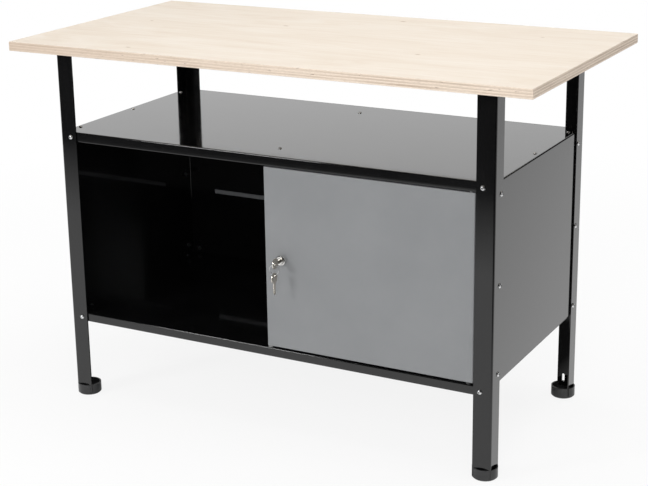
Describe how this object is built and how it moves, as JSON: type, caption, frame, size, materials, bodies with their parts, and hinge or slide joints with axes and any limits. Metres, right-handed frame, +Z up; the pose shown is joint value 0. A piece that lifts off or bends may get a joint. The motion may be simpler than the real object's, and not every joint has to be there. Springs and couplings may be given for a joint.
{
  "type": "workbench with cupboard",
  "caption": "Free-standing workshop bench: plywood worktop on black angle-steel legs, sheet-metal shelf, open bay and a cupboard with a grey locking door.",
  "frame": {"origin": "on the floor under the centre of the worktop", "axes": "+X to the right along the bench, +Y to the back, +Z up; the door and the open bay face -Y"},
  "size_m": [1.2, 0.63, 0.82],
  "materials": {
    "plywood": "sanded birch plywood, unsealed",
    "black_paint": "gloss powder coat",
    "door_paint": "satin powder coat",
    "foot_plastic": "moulded, fine texture",
    "zinc": "bright zinc plate",
    "lock_nickel": "polished nickel plate",
    "key_metal": "nickel-plated brass, worn on the bow",
    "nylon": "moulded black nylon"
  },
  "bodies": {
    "bench": {"back_panel": "black_paint", "bolt_front_left_shelf": "zinc", "bolt_front_left_side_high": "zinc", "bolt_front_left_side_low": "zinc", "bolt_front_left_side_middle": "zinc", "bolt_front_left_tray": "zinc", "bolt_front_right_shelf": "zinc", "bolt_front_right_side_high": "zinc", "bolt_front_right_side_low": "zinc", "bolt_front_right_side_middle": "zinc", "bolt_front_right_tray": "zinc", "bolt_rear_left_shelf": "zinc", "bolt_rear_left_side_high": "zinc", "bolt_rear_left_side_low": "zinc", "bolt_rear_left_side_middle": "zinc", "bolt_rear_left_tray": "zinc", "bolt_rear_right_shelf": "zinc", "bolt_rear_right_side_high": "zinc", "bolt_rear_right_side_low": "zinc", "bolt_rear_right_side_middle": "zinc", "bolt_rear_right_tray": "zinc", "divider": "black_paint", "foot_front_left": "foot_plastic", "foot_front_right": "foot_plastic", "foot_rear_left": "foot_plastic", "foot_rear_right": "foot_plastic", "hinge_pin_lower": "zinc", "hinge_pin_upper": "zinc", "hinge_spacer": "nylon", "leg_front_left": "black_paint", "leg_front_right": "black_paint", "leg_rear_left": "black_paint", "leg_rear_right": "black_paint", "lower_tray": "black_paint", "shelf": "black_paint", "shelf_screw_centre_front": "zinc", "shelf_screw_centre_rear": "zinc", "shelf_screw_left_front": "zinc", "shelf_screw_left_middle": "zinc", "shelf_screw_left_rear": "zinc", "shelf_screw_right_front": "zinc", "shelf_screw_right_middle": "zinc", "shelf_screw_right_rear": "zinc", "side_panel_left": "black_paint", "side_panel_right": "black_paint", "top_plate_front_left": "black_paint", "top_plate_front_right": "black_paint", "top_plate_rear_left": "black_paint", "top_plate_rear_right": "black_paint", "worktop": "plywood"},
    "door": {"door_panel": "door_paint", "lock_body": "lock_nickel", "lock_nut": "zinc"},
    "lock_core": {"lock_plug": "lock_nickel", "lock_cam": "zinc", "cam_screw": "zinc"},
    "key": {"key": "key_metal"},
    "key_ring": {"key_ring": "zinc"},
    "spare_key": {"spare_key": "key_metal"}
  },
  "joints": [
    {"name": "door_swing", "type": "hinge", "parent": "bench", "child": "door", "pos_m": [0.459, -0.257, 0.4], "axis": [0, 0, 1], "range_deg": [0, 110]},
    {"name": "lock_turn", "type": "hinge", "parent": "door", "child": "lock_core", "pos_m": [0.04, -0.264, 0.4005], "axis": [0, -1, 0], "range_deg": [0, 90]},
    {"name": "key_pull", "type": "slide", "parent": "lock_core", "child": "key", "axis": [0, -1, 0], "range_m": [0, 0.024]},
    {"name": "ring_swing", "type": "hinge", "parent": "key", "child": "key_ring", "pos_m": [0.04, -0.298, 0.3991], "axis": [-1, 0, 0], "range_deg": [-10, 45]},
    {"name": "spare_key_swing", "type": "hinge", "parent": "key_ring", "child": "spare_key", "pos_m": [0.04, -0.298, 0.3781], "axis": [-1, 0, 0], "range_deg": [-10, 45]}
  ]
}
